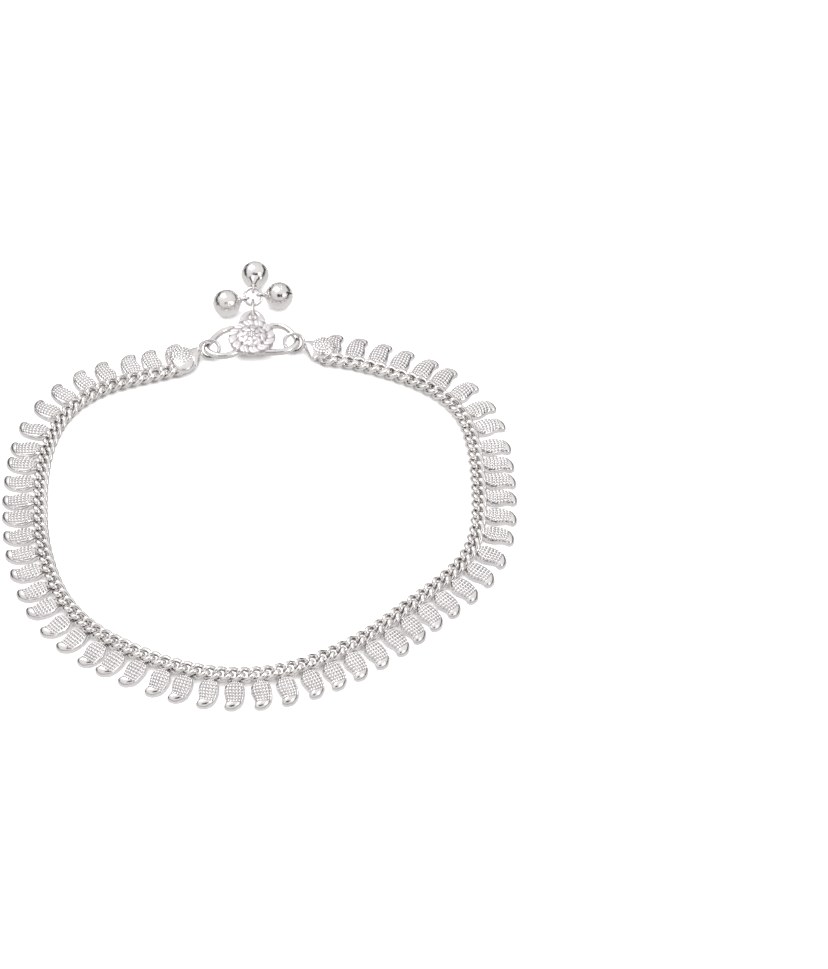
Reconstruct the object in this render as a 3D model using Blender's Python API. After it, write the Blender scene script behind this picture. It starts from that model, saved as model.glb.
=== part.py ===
"""Payal anklet: a curb chain hung with keri drops, closed by an S-hook with a rosette and three bells.

Metres, +Z up. The loop lies on its drops, front towards -Y, clasp towards +Y. The route starts at the
clasp's left end, runs down the left side, along the front and up the right side.
"""
import math
from collections import namedtuple

import bmesh
import bpy
import numpy as np
from mathutils import Matrix, Vector

DropRow = namedtuple("DropRow", "along behind ahead")
Level = namedtuple("Level", "rise kept")
HookPoint = namedtuple("HookPoint", "along across")
BellPlace = namedtuple("BellPlace", "name heading neck")

# Chain and route
LINK_PITCH = 0.0021
LINKS_PER_DROP = 2
CHAIN_WIDTH = 0.0028
CHAIN_THICKNESS = 0.0018
CHAIN_SIDES = 12
JOIN_GAP = 0.0003
RUN_GAP = 0.0005
START_HEADING = math.radians(206)
END_HEADING = math.radians(170)
ROUTE_SAMPLES = 24
HEADING_REACH = 0.001
CHAIN_ROUTE = [
    (-0.0137, 0.0377),
    (-0.0192, 0.0358),
    (-0.0270, 0.0332),
    (-0.0321, 0.0302),
    (-0.0360, 0.0258),
    (-0.0386, 0.0198),
    (-0.0399, 0.0127),
    (-0.0401, 0.0048),
    (-0.0396, -0.0031),
    (-0.0380, -0.0114),
    (-0.0349, -0.0196),
    (-0.0295, -0.0267),
    (-0.0223, -0.0318),
    (-0.0141, -0.0357),
    (-0.0053, -0.0377),
    (0.0035, -0.0371),
    (0.0123, -0.0336),
    (0.0203, -0.0282),
    (0.0271, -0.0217),
    (0.0332, -0.0157),
    (0.0378, -0.0093),
    (0.0397, -0.0018),
    (0.0399, 0.0073),
    (0.0392, 0.0162),
    (0.0365, 0.0259),
    (0.0314, 0.0318),
    (0.0236, 0.0361),
    (0.0164, 0.0387),
]

# Keri drops
DROP_LENGTH = 0.0059
DROP_WIDTH = 0.0036
DROP_THICKNESS = 0.0014
DROP_ROOT = 0.0012
DROP_BACK = 0.0009
TILT_BACK = math.radians(3)
TILT_FRONT = math.radians(8)

# End caps
CAP_DIAMETER = 0.0049
CAP_THICKNESS = 0.0016
CAP_OUT = 0.0021
CAP_ALONG = -0.0006
TONGUE_THICKNESS = 0.0010
TONGUE_OUT = 0.0027
TONGUE_ALONG = 0.0029
TONGUE_INNER_OUT = -0.0016
TONGUE_INNER_ALONG = 0.0010
TONGUE_CAP_OUT = 0.0033
END_RING_LENGTH = 0.0043
END_RING_WIDTH = 0.0041
END_RING_WIRE = 0.0007
END_RING_TILT = math.radians(55)

# Clasp hook and rosette
HOOK_LENGTH = 0.0181
HOOK_WIDTH = 0.0088
HOOK_WIRE = 0.0012
HOOK_SIDES = 12
HOOK_SAMPLES = 3
HOOK_HEIGHT = 0.0021
ROSETTE_DIAMETER = 0.0087
ROSETTE_THICKNESS = 0.0009
ROSETTE_SEAT = 0.0003
ROSETTE_PETALS = 12
PETAL_SIDES = 4
PETAL_NOTCH = 0.0003
PETAL_ROUNDNESS = 0.5
BOSS_DIAMETER = 0.0056
BOSS_RISE = 0.0008
TAB_WIDTH = 0.0050
TAB_REACH = 0.0026
TAB_THICKNESS = 0.0008
TAB_OVERLAP = 0.0008
TAB_HOLE = 0.0016
HOLE_CUT = 0.0024

# Jump rings
TAB_RING_LENGTH = 0.0054
TAB_RING_WIDTH = 0.0036
TAB_RING_WIRE = 0.0006
TAB_RING_SLOPE = math.radians(8)
BELL_RING_DIAMETER = 0.0039
BELL_RING_WIRE = 0.0006
BELL_RING_TILT = math.radians(35)

# Bells
BELL_DIAMETER = 0.0053
BELL_WALL = 0.0004
BELL_SLIT = 0.0006
BELL_SLIT_TOP = -0.0008
BELL_EYE_WIRE = 0.00044
BELL_NECK_FOOT = 0.0024
BELL_NECK_TOP = 0.0012
BELL_PLACES = (
    BellPlace("bell_left", math.radians(193), 0.0002),
    BellPlace("bell_back", math.radians(88), 0.0020),
    BellPlace("bell_right", math.radians(9), 0.0002),
)

# One keri drop seen from above: share of its length, then of its width on either side of its middle
DROP_OUTLINE = (
    DropRow(-0.10, 0.16, 0.16),
    DropRow(0.03, 0.30, 0.30),
    DropRow(0.16, 0.47, 0.45),
    DropRow(0.36, 0.53, 0.51),
    DropRow(0.56, 0.46, 0.49),
    DropRow(0.70, 0.44, 0.44),
    DropRow(0.84, 0.52, 0.32),
    DropRow(0.94, 0.46, 0.14),
    DropRow(1.00, 0.26, -0.06),
)
# Rise as a share of the thickness, and the share of the outline kept there
DROP_LEVELS = (Level(0.50, 1.00), Level(1.00, 0.66))
CAP_LEVELS = (Level(0.45, 1.00), Level(0.80, 0.80), Level(1.00, 0.40))
ROSETTE_LEVELS = (Level(0.70, 1.00), Level(1.00, 0.94))
BOSS_LEVELS = (Level(0.50, 0.90), Level(1.00, 0.50))
STRAIGHT = (Level(1.00, 1.00),)

# The hook's wire: shares of half its length and of half its width
HOOK_ROUTE = (
    HookPoint(0.24, -0.80),
    HookPoint(0.55, -0.80),
    HookPoint(0.85, -0.62),
    HookPoint(1.00, -0.15),
    HookPoint(0.90, 0.45),
    HookPoint(0.60, 1.00),
    HookPoint(0.30, 0.85),
    HookPoint(0.00, 0.00),
    HookPoint(-0.30, -0.75),
    HookPoint(-0.60, -1.05),
    HookPoint(-0.88, -0.92),
    HookPoint(-1.00, -0.58),
    HookPoint(-0.90, -0.05),
    HookPoint(-0.65, 0.62),
    HookPoint(-0.35, 0.80),
    HookPoint(-0.10, 0.55),
)

UP = Vector((0, 0, 1))
SILVER = (0.86, 0.85, 0.84, 1)
SILVER_ROUGHNESS = 0.2
SMOOTH_ANGLE = math.radians(40)
WELD = 2e-6
RING_SIDES = 14
WIRE_SIDES = 6
BELL_SEGMENTS = 14
BELL_RINGS = 8
CAP_SIDES = 18
TAB_SIDES = 18


def clear_scene():
    """Start from nothing."""
    for item in list(bpy.data.objects):
        bpy.data.objects.remove(item)


def new_collection(name):
    """A collection in the scene."""
    collection = bpy.data.collections.new(name)
    bpy.context.scene.collection.children.link(collection)
    return collection


def silver(name):
    """Bright polished silver."""
    material = bpy.data.materials.new(name)
    material.use_nodes = True
    shader = material.node_tree.nodes["Principled BSDF"]
    shader.inputs["Base Color"].default_value = SILVER
    shader.inputs["Metallic"].default_value = 1.0
    shader.inputs["Roughness"].default_value = SILVER_ROUGHNESS
    return material


def smooth_curve(points, samples):
    """A natural cubic spline through the points, with so many places between each two of them."""
    points = np.array(points, dtype=float)
    knots = np.concatenate([[0], np.cumsum(np.linalg.norm(np.diff(points, axis=0), axis=1))])
    count = len(points)
    span = np.diff(knots)
    matrix = np.eye(count)
    right = np.zeros_like(points)
    for i in range(1, count - 1):
        matrix[i, i - 1:i + 2] = span[i - 1], 2 * (span[i - 1] + span[i]), span[i]
        slope_after = (points[i + 1] - points[i]) / span[i]
        slope_before = (points[i] - points[i - 1]) / span[i - 1]
        right[i] = 6 * (slope_after - slope_before)
    bend = np.linalg.solve(matrix, right)
    dense = []
    for i in range(count - 1):
        for t in np.linspace(0, span[i], samples, endpoint=i == count - 2):
            left = span[i] - t
            dense.append(
                (bend[i] * left ** 3 + bend[i + 1] * t ** 3) / (6 * span[i])
                + (points[i] / span[i] - bend[i] * span[i] / 6) * left
                + (points[i + 1] / span[i] - bend[i + 1] * span[i] / 6) * t
            )
    return np.array(dense)


def heading_vector(heading):
    """A level unit vector."""
    return Vector((math.cos(heading), math.sin(heading), 0))


def outward_of(travel):
    """The level direction out of the loop, for a direction of travel along it."""
    return Vector((travel.y, -travel.x, 0))


def axes(origin, x_axis, y_axis, z_axis):
    """A place given by its origin and its three axes."""
    return Matrix.Translation(origin) @ Matrix((x_axis, y_axis, z_axis)).transposed().to_4x4()


class Route:
    """The chain's middle line, by its length from the left end."""

    def __init__(self, points):
        self.line = smooth_curve(points, ROUTE_SAMPLES)
        steps = np.linalg.norm(np.diff(self.line, axis=0), axis=1)
        self.lengths = np.concatenate([[0], np.cumsum(steps)])
        self.length = self.lengths[-1]
        self.drops = round(self.length / (LINK_PITCH * LINKS_PER_DROP))
        self.pitch = self.length / self.drops

    def flat_point(self, distance):
        """A place on the middle line, seen from above."""
        return Vector((
            np.interp(distance, self.lengths, self.line[:, 0]),
            np.interp(distance, self.lengths, self.line[:, 1]),
            0,
        ))

    def tilt(self, distance):
        """How steeply the drops slope down: more at the front than at the clasp."""
        place = self.flat_point(distance)
        front_share = (1 - place.y / place.length) / 2
        return TILT_BACK + (TILT_FRONT - TILT_BACK) * front_share

    def frame(self, distance):
        """Axes at a place on the chain: X out along a drop, Y along the chain, Z off its face."""
        before = max(distance - HEADING_REACH, 0)
        after = min(distance + HEADING_REACH, self.length)
        travel = (self.flat_point(after) - self.flat_point(before)).normalized()
        tilt = self.tilt(distance)
        out = outward_of(travel) * math.cos(tilt) - UP * math.sin(tilt)
        height = (DROP_ROOT + DROP_LENGTH) * math.sin(tilt) + DROP_BACK * math.cos(tilt)
        return axes(self.flat_point(distance) + UP * height, out, travel, out.cross(travel))


def mesh_object(name, build):
    """An object of the mesh that build makes."""
    bm = bmesh.new()
    build(bm)
    mesh = bpy.data.meshes.new(name)
    bm.to_mesh(mesh)
    bm.free()
    item = bpy.data.objects.new(name, mesh)
    parts.objects.link(item)
    return item


def applied(item):
    """The object with its modifiers, or its curve, made a plain welded mesh in world place."""
    graph = bpy.context.evaluated_depsgraph_get()
    mesh = bpy.data.meshes.new_from_object(item.evaluated_get(graph))
    mesh.transform(item.matrix_world)
    name = item.name
    bpy.data.objects.remove(item)
    bm = bmesh.new()
    bm.from_mesh(mesh)
    bmesh.ops.remove_doubles(bm, verts=bm.verts, dist=WELD)
    bm.to_mesh(mesh)
    bm.free()
    plain = bpy.data.objects.new(name, mesh)
    parts.objects.link(plain)
    return plain


def combined(base, other, operation):
    """Join the other object to the base, or cut it out, as one solid."""
    modifier = base.modifiers.new(operation.lower(), "BOOLEAN")
    modifier.operation = operation
    modifier.solver = "EXACT"
    modifier.object = other
    result = applied(base)
    bpy.data.objects.remove(other)
    return result


def poly_curve(name, points, closed):
    """A curve of straight steps through the points."""
    curve = bpy.data.curves.new(name, "CURVE")
    curve.dimensions = "3D"
    curve.twist_mode = "Z_UP"
    spline = curve.splines.new("POLY")
    spline.points.add(len(points) - 1)
    for point, place in zip(spline.points, points):
        point.co = (*place, 1)
    spline.use_cyclic_u = closed
    item = bpy.data.objects.new(name, curve)
    parts.objects.link(item)
    return item


def tube(name, points, width, thickness, sides):
    """A wire of oval section with closed ends along the points, its width kept level."""
    oval = [(x, y, 0) for x, y in circle_points(sides, width / 2, thickness / 2)]
    section = poly_curve(name + "_section", oval[::-1], True)
    item = poly_curve(name, points, False)
    item.data.bevel_mode = "OBJECT"
    item.data.bevel_object = section
    item.data.use_fill_caps = True
    bpy.context.view_layer.update()
    result = applied(item)
    bpy.data.objects.remove(section)
    return result


def raise_plate(bm, outline, base, thickness, levels, matrix):
    """Draw the outline on a disc at the base height and raise it level by level."""
    circle = bmesh.ops.create_circle(bm, cap_ends=True, segments=len(outline), radius=1)
    verts = sorted(circle["verts"], key=lambda vert: math.atan2(vert.co.y, vert.co.x))
    for vert, (x, y) in zip(verts, outline):
        vert.co = (x, y, base)
    middle = Vector((*np.mean(outline, axis=0), 0))
    top = verts[0].link_faces[0]
    everything = set(verts)
    reached = Level(0, 1)
    for level in levels:
        grown = bmesh.ops.extrude_face_region(bm, geom=[top, *top.edges])["geom"]
        new_verts = [piece for piece in grown if isinstance(piece, bmesh.types.BMVert)]
        top = [piece for piece in grown if isinstance(piece, bmesh.types.BMFace)][0]
        for vert in new_verts:
            vert.co.z += (level.rise - reached.rise) * thickness
            flat = Vector((vert.co.x, vert.co.y, 0)) - middle
            vert.co.x = middle.x + flat.x * level.kept / reached.kept
            vert.co.y = middle.y + flat.y * level.kept / reached.kept
        reached = level
        everything.update(new_verts)
    bmesh.ops.transform(bm, matrix=matrix, verts=list(everything))
    faces = {face for vert in everything for face in vert.link_faces}
    bmesh.ops.recalc_face_normals(bm, faces=list(faces))


def circle_points(sides, radius_x, radius_y, middle=(0, 0)):
    """Points around an oval, from its left side onwards."""
    angles = [-math.pi + 2 * math.pi * i / sides for i in range(sides)]
    return [
        (middle[0] + radius_x * math.cos(angle), middle[1] + radius_y * math.sin(angle))
        for angle in angles
    ]


def drop_outline():
    """A keri drop's outline, its root towards the chain and its toe curling back towards the start."""
    along = [DROP_ROOT + row.along * DROP_LENGTH for row in DROP_OUTLINE]
    behind = [(out, -row.behind * DROP_WIDTH) for out, row in zip(along, DROP_OUTLINE)]
    ahead = [(out, row.ahead * DROP_WIDTH) for out, row in zip(along, DROP_OUTLINE)]
    return behind + ahead[::-1]


def drops_object(name, route, numbers):
    """The keri drops of the given numbers, each half a pitch into its stretch of the chain."""
    def build(bm):
        for number in numbers:
            place = route.frame((number + 0.5) * route.pitch)
            raise_plate(bm, drop_outline(), -DROP_BACK, DROP_THICKNESS, DROP_LEVELS, place)

    return mesh_object(name, build)


def chain_run(name, route, first, last, numbers):
    """A stretch of chain with its drops, as one solid."""
    count = max(2, round((last - first) / route.pitch))
    points = [route.frame(distance).translation for distance in np.linspace(first, last, count + 1)]
    run = tube(name, points, CHAIN_WIDTH, CHAIN_THICKNESS, CHAIN_SIDES)
    drops = drops_object(name + "_drops", route, numbers)
    return combined(run, drops, "UNION")


def ring_object(name, length, width, wire, matrix):
    """An oval ring of round wire: its length along X, its width along Y."""
    bpy.ops.mesh.primitive_torus_add(
        major_segments=RING_SIDES,
        minor_segments=WIRE_SIDES,
        major_radius=1,
        minor_radius=wire / 2,
    )
    ring = bpy.context.object
    ring.name = name
    for vert in ring.data.vertices:
        around = Vector((vert.co.x, vert.co.y, 0)).normalized()
        off_wire = vert.co - around
        middle = Vector((around.x * (length - wire) / 2, around.y * (width - wire) / 2, 0))
        vert.co = middle + off_wire
    ring.data.transform(matrix)
    for collection in list(ring.users_collection):
        collection.objects.unlink(ring)
    parts.objects.link(ring)
    return ring


def end_cap(name, route, at_start, ring_centre):
    """A dotted round cap with its tongue and ring, soldered over the last drop's stretch of chain."""
    if at_start:
        clasp_side, number, end, heading = -1, 0, 0, START_HEADING
        first, last = 0, route.pitch - RUN_GAP / 2
    else:
        clasp_side, number, end, heading = 1, route.drops - 1, route.length, END_HEADING
        first, last = route.length - route.pitch + RUN_GAP / 2, route.length
    cap = chain_run(name, route, first, last, [number])

    travel = heading_vector(heading)
    origin = route.flat_point(end) + UP * (HOOK_HEIGHT - TONGUE_THICKNESS / 2)
    place = axes(origin, outward_of(travel), travel, UP)
    cap_along = clasp_side * CAP_ALONG
    ring_along = clasp_side * (TONGUE_ALONG + END_RING_WIRE / 2)

    def build_plate(bm):
        disc = circle_points(CAP_SIDES, CAP_DIAMETER / 2, CAP_DIAMETER / 2, (CAP_OUT, cap_along))
        raise_plate(bm, disc, 0, CAP_THICKNESS, CAP_LEVELS, place)

    def build_tongue(bm):
        corners = [
            (TONGUE_INNER_OUT, clasp_side * TONGUE_INNER_ALONG),
            (TONGUE_OUT - END_RING_WIRE, ring_along),
            (TONGUE_OUT + END_RING_WIRE, ring_along),
            (TONGUE_CAP_OUT, cap_along),
            (0, cap_along),
        ]
        raise_plate(bm, corners, 0, TONGUE_THICKNESS, STRAIGHT, place)

    cap = combined(cap, mesh_object(name + "_plate", build_plate), "UNION")
    cap = combined(cap, mesh_object(name + "_tongue", build_tongue), "UNION")
    lean = Matrix.Translation(ring_centre) @ Matrix.Rotation(END_RING_TILT, 4, "X")
    ring = ring_object(name + "_ring", END_RING_LENGTH, END_RING_WIDTH, END_RING_WIRE, lean)
    return combined(cap, ring, "UNION")


def hook_point(point):
    """A point of the hook's wire, from the rosette's middle."""
    across = point.across * (HOOK_WIDTH - HOOK_WIRE) / 2
    return Vector((point.along * (HOOK_LENGTH - HOOK_WIRE) / 2, across, 0))


def tab_hole_offset():
    """How far behind the rosette's middle the tab's hole lies."""
    return ROSETTE_DIAMETER / 2 + TAB_HOLE / 2 + JOIN_GAP / 2


def clasp_hook(name, rosette_centre):
    """The S-hook's wire with the rosette and its pierced tab soldered on top."""
    line = smooth_curve([hook_point(point) for point in HOOK_ROUTE], HOOK_SAMPLES)
    points = [Vector(point) + rosette_centre for point in line]
    hook = tube(name, points, HOOK_WIRE, HOOK_WIRE, HOOK_SIDES)
    place = Matrix.Translation(rosette_centre)

    def build_tab(bm):
        middle = (0, ROSETTE_DIAMETER / 2 - TAB_OVERLAP)
        ear = circle_points(TAB_SIDES, TAB_WIDTH / 2, TAB_REACH + TAB_OVERLAP, middle)
        raise_plate(bm, ear, ROSETTE_SEAT, TAB_THICKNESS, STRAIGHT, place)

    def build_hole(bm):
        hole = circle_points(RING_SIDES, TAB_HOLE / 2, TAB_HOLE / 2, (0, tab_hole_offset()))
        raise_plate(bm, hole, -HOLE_CUT / 2, HOLE_CUT, STRAIGHT, place)

    def build_rosette(bm):
        radius = ROSETTE_DIAMETER / 2
        edge = []
        for i, (x, y) in enumerate(circle_points(ROSETTE_PETALS * PETAL_SIDES, 1, 1)):
            bulge = abs(math.sin(math.pi * i / PETAL_SIDES)) ** PETAL_ROUNDNESS
            reach = radius - PETAL_NOTCH * (1 - bulge)
            edge.append((x * reach, y * reach))
        raise_plate(bm, edge, ROSETTE_SEAT, ROSETTE_THICKNESS, ROSETTE_LEVELS, place)

    def build_boss(bm):
        dome = circle_points(ROSETTE_PETALS * 2, BOSS_DIAMETER / 2, BOSS_DIAMETER / 2)
        sunk = ROSETTE_THICKNESS / 2
        raise_plate(bm, dome, ROSETTE_SEAT + sunk, sunk + BOSS_RISE, BOSS_LEVELS, place)

    hook = combined(hook, mesh_object(name + "_tab", build_tab), "UNION")
    hook = combined(hook, mesh_object(name + "_rosette", build_rosette), "UNION")
    hook = combined(hook, mesh_object(name + "_boss", build_boss), "UNION")
    return combined(hook, mesh_object(name + "_hole", build_hole), "DIFFERENCE")


def bell(place_of_bell, eye_centre, ring_tangent):
    """A hollow round bell lying on the surface, with a slit, a neck and an eye round the ring."""
    name, heading, neck = place_of_bell
    radius = BELL_DIAMETER / 2
    eye_diameter = BELL_RING_WIRE + 2 * JOIN_GAP + 2 * BELL_EYE_WIRE
    eye_out = radius + neck + BELL_RING_WIRE / 2 + JOIN_GAP
    drop = eye_centre.z - radius
    level = math.sqrt(eye_out ** 2 - drop ** 2)
    centre = eye_centre + heading_vector(heading) * level - UP * drop
    axis = (eye_centre - centre).normalized()
    across = (ring_tangent - axis * ring_tangent.dot(axis)).normalized()
    place = axes(centre, across.cross(axis), across, axis)

    def sphere(bm, size):
        bmesh.ops.create_uvsphere(
            bm, u_segments=BELL_SEGMENTS, v_segments=BELL_RINGS, radius=size, matrix=place,
        )

    def build_neck(bm):
        foot = radius - 2 * BELL_WALL
        tall = radius + neck - foot
        bmesh.ops.create_cone(
            bm, cap_ends=True, segments=BELL_SEGMENTS, radius1=BELL_NECK_FOOT / 2,
            radius2=BELL_NECK_TOP / 2, depth=tall,
            matrix=place @ Matrix.Translation((0, 0, foot + tall / 2)),
        )

    def build_slit(bm):
        box = bmesh.ops.create_cube(bm, size=1)
        size = Matrix.Diagonal((2 * BELL_DIAMETER, BELL_SLIT, BELL_DIAMETER, 1))
        low = Matrix.Translation((0, 0, BELL_SLIT_TOP - BELL_DIAMETER / 2))
        bmesh.ops.transform(bm, matrix=place @ low @ size, verts=box["verts"])

    body = mesh_object(name, lambda bm: sphere(bm, radius))
    body = combined(body, mesh_object(name + "_neck", build_neck), "UNION")
    lean = place @ Matrix.Translation((0, 0, eye_out)) @ Matrix.Rotation(math.pi / 2, 4, "X")
    eye = ring_object(name + "_eye", eye_diameter, eye_diameter, BELL_EYE_WIRE, lean)
    body = combined(body, eye, "UNION")
    hollow = mesh_object(name + "_hollow", lambda bm: sphere(bm, radius - BELL_WALL))
    body = combined(body, hollow, "DIFFERENCE")
    return combined(body, mesh_object(name + "_slit", build_slit), "DIFFERENCE")


clear_scene()
parts = new_collection("payal_anklet")
anchor = bpy.data.objects.new("payal_anklet_origin", None)
parts.objects.link(anchor)

# The clasp is laid out from the chain's left end to its right end
hook_ends = [hook_point(point) for point in HOOK_ROUTE]
hook_left = min(hook_ends, key=lambda place: place.x)
hook_right = max(hook_ends, key=lambda place: place.x)
ring_play = Vector(((END_RING_LENGTH - HOOK_WIRE) / 2 - END_RING_WIRE - JOIN_GAP, 0, 0))
ring_end = Vector((END_RING_LENGTH / 2, 0, 0))
lift = UP * HOOK_HEIGHT
start = Vector((*CHAIN_ROUTE[0], 0))
start_travel = heading_vector(START_HEADING)
left_ring_end = start - start_travel * TONGUE_ALONG + outward_of(start_travel) * TONGUE_OUT
left_ring = left_ring_end + ring_end + lift
rosette = left_ring - ring_play - hook_left
right_ring = rosette + hook_right - ring_play
right_ring_end = right_ring + ring_end - lift
end_travel = heading_vector(END_HEADING)
end = right_ring_end - end_travel * TONGUE_ALONG - outward_of(end_travel) * TONGUE_OUT
route = Route(CHAIN_ROUTE + [(end.x, end.y)])

half = route.drops // 2
split = half * route.pitch
last = route.length - route.pitch
gap = RUN_GAP / 2
made = [
    chain_run("keri_chain_left", route, route.pitch + gap, split - gap, range(1, half)),
    chain_run("keri_chain_right", route, split + gap, last - gap, range(half, route.drops - 1)),
    end_cap("end_cap_left", route, True, left_ring),
    end_cap("end_cap_right", route, False, right_ring),
    clasp_hook("clasp_hook", rosette),
]

# The tab's ring slopes down from the tab's hole and holds the bells' ring
tab_middle = ROSETTE_SEAT + TAB_THICKNESS / 2
tab_hole_play = (TAB_HOLE - TAB_RING_WIRE) / 2 - JOIN_GAP
tab_ring_near = rosette + Vector((0, tab_hole_offset() - tab_hole_play, tab_middle))
slope = Vector((0, math.cos(TAB_RING_SLOPE), -math.sin(TAB_RING_SLOPE)))
tab_ring_span = TAB_RING_LENGTH - TAB_RING_WIRE
tab_ring_centre = tab_ring_near + slope * tab_ring_span / 2
sideways = Vector((1, 0, 0))
tab_ring_place = axes(tab_ring_centre, slope, sideways.cross(slope), sideways)
made.append(ring_object("tab_ring", TAB_RING_LENGTH, TAB_RING_WIDTH, TAB_RING_WIRE, tab_ring_place))
wires_apart = (TAB_RING_WIRE + BELL_RING_WIRE) / 2 + JOIN_GAP
bell_ring_near = tab_ring_near + slope * (tab_ring_span - wires_apart)
bell_ring_radius = (BELL_RING_DIAMETER - BELL_RING_WIRE) / 2
uphill = Vector((0, math.cos(BELL_RING_TILT), math.sin(BELL_RING_TILT)))
bell_ring_centre = bell_ring_near + uphill * bell_ring_radius
made.append(ring_object(
    "bell_ring", BELL_RING_DIAMETER, BELL_RING_DIAMETER, BELL_RING_WIRE,
    Matrix.Translation(bell_ring_centre) @ Matrix.Rotation(BELL_RING_TILT, 4, "X"),
))
for bell_place in BELL_PLACES:
    heading = heading_vector(bell_place.heading)
    turn = math.atan2(heading.y / math.cos(BELL_RING_TILT), heading.x)
    eye = bell_ring_centre + Vector((math.cos(turn), 0, 0)) * bell_ring_radius
    eye += uphill * math.sin(turn) * bell_ring_radius
    tangent = uphill * math.cos(turn) - Vector((math.sin(turn), 0, 0))
    made.append(bell(bell_place, eye, tangent))

# Each piece gets its own silver, and the origin comes under the middle of the whole anklet
corners = np.array([vert.co for item in made for vert in item.data.vertices])
low, high = corners.min(axis=0), corners.max(axis=0)
anchor.location = (-(low[0] + high[0]) / 2, -(low[1] + high[1]) / 2, -low[2])
for item in made:
    item.data.materials.clear()
    item.data.materials.append(silver("silver_" + item.name))
    item.parent = anchor
    item.data.shade_smooth()
    item.data.set_sharp_from_angle(angle=SMOOTH_ANGLE)
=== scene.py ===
"""The looks of the payal anklet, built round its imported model.

Metres, +Z up. The loop lies on its drops, front towards -Y, clasp towards +Y.
"""

import math
from collections import namedtuple

import bmesh
import bpy
import numpy as np
from mathutils import Matrix, Vector


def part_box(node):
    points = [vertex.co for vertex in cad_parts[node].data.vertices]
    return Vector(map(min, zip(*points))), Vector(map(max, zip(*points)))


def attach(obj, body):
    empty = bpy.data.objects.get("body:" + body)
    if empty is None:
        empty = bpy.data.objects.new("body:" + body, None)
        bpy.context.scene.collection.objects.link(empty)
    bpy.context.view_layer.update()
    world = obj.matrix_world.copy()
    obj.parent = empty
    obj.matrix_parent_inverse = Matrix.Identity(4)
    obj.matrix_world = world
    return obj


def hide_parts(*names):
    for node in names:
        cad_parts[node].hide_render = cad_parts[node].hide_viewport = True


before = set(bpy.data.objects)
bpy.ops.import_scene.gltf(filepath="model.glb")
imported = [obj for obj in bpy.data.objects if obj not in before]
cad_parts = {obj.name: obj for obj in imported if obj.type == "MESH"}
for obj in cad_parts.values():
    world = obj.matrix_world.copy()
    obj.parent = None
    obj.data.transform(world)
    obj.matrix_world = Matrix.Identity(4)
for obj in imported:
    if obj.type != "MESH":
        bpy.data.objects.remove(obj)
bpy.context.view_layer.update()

# Curb chain. Links of drawn silver wire, each an oval bent round, soldered shut and twisted, its two
# ends leaning opposite ways, so that the threaded links lie flat. It runs from the left cap down the left
# side, along the front and up to the right cap, and carries a drop on every second link.
MM = 0.001
UP = Vector((0, 0, 1))
LINK_PITCH = 2.1 * MM
LINKS_PER_DROP = 2
LINK_WIRE = 0.90 * MM
LINK_WIDTH = 3.05 * MM
LINK_PLAY = 0.05 * MM
LINK_TWIST = math.radians(60)
LINK_SQUARENESS = 0.80
LINK_ROLL_SPREAD = math.radians(3)
LINK_SHADE_DEPTH = 0.6 * MM
WIRE_SIDES = 12
LINK_STEPS = 44
ROUTE_SAMPLES = 24
HEADING_REACH = 1 * MM
DROP_LENGTH = 5.9 * MM
DROP_ROOT = 1.2 * MM
DROP_BACK = 0.9 * MM
TILT_BACK = math.radians(3)
TILT_FRONT = math.radians(8)
WELD = 0.001 * MM
SMOOTH_ANGLE = math.radians(50)
CLOUD_SIZE = 4 * MM
SHADE_FROM = 0.20
ROUTE_ORIGIN = Vector((0.0000676, -0.0090645, 0))
CHAIN_ROUTE = [
    (-0.0137, 0.0377),
    (-0.0192, 0.0358),
    (-0.0270, 0.0332),
    (-0.0321, 0.0302),
    (-0.0360, 0.0258),
    (-0.0386, 0.0198),
    (-0.0399, 0.0127),
    (-0.0401, 0.0048),
    (-0.0396, -0.0031),
    (-0.0380, -0.0114),
    (-0.0349, -0.0196),
    (-0.0295, -0.0267),
    (-0.0223, -0.0318),
    (-0.0141, -0.0357),
    (-0.0053, -0.0377),
    (0.0035, -0.0371),
    (0.0123, -0.0336),
    (0.0203, -0.0282),
    (0.0271, -0.0217),
    (0.0332, -0.0157),
    (0.0378, -0.0093),
    (0.0397, -0.0018),
    (0.0399, 0.0073),
    (0.0392, 0.0162),
    (0.0365, 0.0259),
    (0.0314, 0.0318),
    (0.0236, 0.0361),
    (0.0164, 0.0387),
    (0.01021, 0.03987),
]

Shape = namedtuple("Shape", "points quads recess")


def smooth_curve(points, samples):
    """A natural cubic spline through the points, with so many places between each two of them."""
    points = np.array(points, dtype=float)
    knots = np.concatenate([[0], np.cumsum(np.linalg.norm(np.diff(points, axis=0), axis=1))])
    count = len(points)
    span = np.diff(knots)
    matrix = np.eye(count)
    right = np.zeros_like(points)
    for i in range(1, count - 1):
        matrix[i, i - 1:i + 2] = span[i - 1], 2 * (span[i - 1] + span[i]), span[i]
        slope_after = (points[i + 1] - points[i]) / span[i]
        slope_before = (points[i] - points[i - 1]) / span[i - 1]
        right[i] = 6 * (slope_after - slope_before)
    bend = np.linalg.solve(matrix, right)
    dense = []
    for i in range(count - 1):
        for t in np.linspace(0, span[i], samples, endpoint=i == count - 2):
            left = span[i] - t
            dense.append(
                (bend[i] * left ** 3 + bend[i + 1] * t ** 3) / (6 * span[i])
                + (points[i] / span[i] - bend[i] * span[i] / 6) * left
                + (points[i + 1] / span[i] - bend[i + 1] * span[i] / 6) * t
            )
    return np.array(dense)


def heading_vector(heading):
    """A level unit vector."""
    return Vector((math.cos(heading), math.sin(heading), 0))


def outward_of(travel):
    """The level direction out of the loop, for a direction of travel along it."""
    return Vector((travel.y, -travel.x, 0))


def axes(origin, x_axis, y_axis, z_axis):
    """A place given by its origin and its three axes."""
    return Matrix.Translation(origin) @ Matrix((x_axis, y_axis, z_axis)).transposed().to_4x4()


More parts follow.
